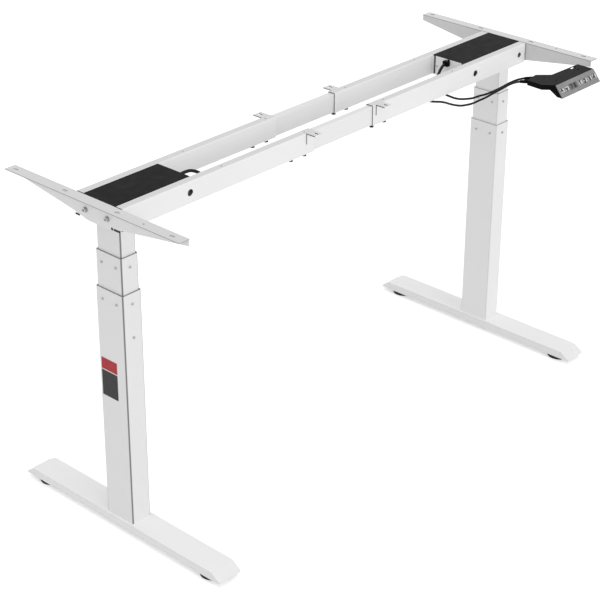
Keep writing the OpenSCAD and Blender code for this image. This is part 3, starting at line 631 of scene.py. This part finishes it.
def web_shade_inserts():
    """Thin black pieces on the lower edge of each side bracket's web: painted shade for the open beam
    ends and a round hole below that edge.
    """
    for side, sign in (("left", -1), ("right", 1)):
        for name, (y, size) in SHADE_INSERTS.items():
            def place(a, b, out):
                return Vector((sign * (WEB_FACE_X + out), y + a, SHADE_INSERT_Z + b))
            bm = bmesh.new()
            plate(bm, place, size, size[1] / 2 - SHADE_INSERT_FLAT, SHADE_INSERT_T)
            bmesh.ops.recalc_face_normals(bm, faces=bm.faces)
            mesh_piece(f"shade_insert_{side}_{name}", bm, "mark", f"head_{side}",
                       smooth=False)


# Lips on the tubes' tops: the body each rides on, its outer and inner size and its height
LIPS = {"outer": ("base", (0.050, 0.080), (0.0452, 0.0752), 0.574),
        "middle": ("mid", (0.045, 0.075), (0.0402, 0.0702), 0.656)}
COLUMN_X, LIP_T, LIP_RADIUS = 0.62, 0.0009, 0.003


def glide_lips_painted_gap_shade():
    """The thin lips of the glides on the tops of the tubes, grey as painted shade for the dark gap
    between the tubes, darker on the left than on the right.
    """
    for side, sign, shade in (("left", -1, "lip_dark_painted_shade"), ("right", 1, "lip_pale_painted_shade")):
        for name, (body, outer, inner, top) in LIPS.items():
            bm = bmesh.new()
            rows = []
            for size, z in ((outer, top), (outer, top + LIP_T), (inner, top + LIP_T), (inner, top)):
                rows.append([bm.verts.new((sign * COLUMN_X + x, y, z))
                             for x, y in rounded(size, LIP_RADIUS, 0, LIP_STEPS)])
            bridge(bm, rows + rows[:1])
            bmesh.ops.recalc_face_normals(bm, faces=bm.faces)
            mesh_piece(f"lip_{side}_{name}", bm, shade, f"{body}_{side}", smooth=False)


# Floor, light and world
FLOOR_LIFT = 0.42
FLOOR_SIZE, FLOOR_CELLS = 30, 8
WORLD_FILL = 0.54

# Suns: direction of the light, strength and spread in degrees
SUNS = {"sun_front": ((0.1, 0.97, -0.2), 1.12, 50),
        "sun_side": ((0.95, 0.05, -0.3), 0.33, 50),
        "sun_top": ((0.05, 0.05, -1), 0.66, 60)}


def make_stage():
    """A pale floor, a little brighter where it is seen directly or in a reflection."""
    bm = bmesh.new()
    bmesh.ops.create_grid(bm, x_segments=FLOOR_CELLS, y_segments=FLOOR_CELLS, size=FLOOR_SIZE)
    data = bpy.data.meshes.new("floor")
    bm.to_mesh(data)
    bm.free()
    f = Finish("floor_pale", (0.86, 0.86, 0.86), 0.9)
    f.mottle(size=0.5, dark=0.985, light=1.0)
    lift = f.new("ShaderNodeEmission")
    f.set(lift, Strength=FLOOR_LIFT)
    both = f.new("ShaderNodeAddShader")
    f.link(f.shader.outputs[0], both.inputs[0])
    f.link(lift.outputs[0], both.inputs[1])
    plain = f.new("ShaderNodeMixShader")
    rays = f.new("ShaderNodeLightPath")
    seen = f.math("MAXIMUM", rays.outputs["Is Camera Ray"], rays.outputs["Is Glossy Ray"])
    f.link(seen, plain.inputs[0])
    f.link(f.shader.outputs[0], plain.inputs[1])
    f.link(both.outputs[0], plain.inputs[2])
    f.link(plain.outputs[0], f.tree.nodes["Material Output"].inputs["Surface"])
    data.materials.append(f.material)
    floor = bpy.data.objects.new("floor", data)
    bpy.context.scene.collection.objects.link(floor)


def make_world():
    """White where the camera looks past the floor, and a soft grey fill for all other rays."""
    world = bpy.data.worlds.new("world")
    bpy.context.scene.world = world
    world.use_nodes = True
    tree = world.node_tree
    sky = tree.nodes["Background"]
    path = tree.nodes.new("ShaderNodeLightPath")
    seen = path.outputs["Is Camera Ray"]
    for ray in ("Is Glossy Ray", "Is Transmission Ray"):
        either = tree.nodes.new("ShaderNodeMath")
        either.operation = "MAXIMUM"
        tree.links.new(seen, either.inputs[0])
        tree.links.new(path.outputs[ray], either.inputs[1])
        seen = either.outputs[0]
    strength = tree.nodes.new("ShaderNodeMapRange")
    strength.inputs["To Min"].default_value = WORLD_FILL
    strength.inputs["To Max"].default_value = 1
    tree.links.new(seen, strength.inputs["Value"])
    tree.links.new(strength.outputs["Result"], sky.inputs["Strength"])
    sky.inputs["Color"].default_value = (1, 1, 1, 1)


def make_sun(name, towards, strength, spread):
    """A soft sun that shines in a direction."""
    data = bpy.data.lights.new(name, "SUN")
    data.energy = strength
    data.angle = math.radians(spread)
    sun = bpy.data.objects.new(name, data)
    sun.rotation_mode = "QUATERNION"
    sun.rotation_quaternion = Vector(towards).to_track_quat("-Z", "Y")
    bpy.context.scene.collection.objects.link(sun)


make_camera()
handset_cables()
motor_leads()
dress_nodes()
handset_details()
bare_label()
web_shade_inserts()
glide_lips_painted_gap_shade()
make_stage()
make_world()
for name, (towards, strength, spread) in SUNS.items():
    make_sun(name, towards, strength, spread)
bpy.context.scene.view_settings.view_transform = "Standard"
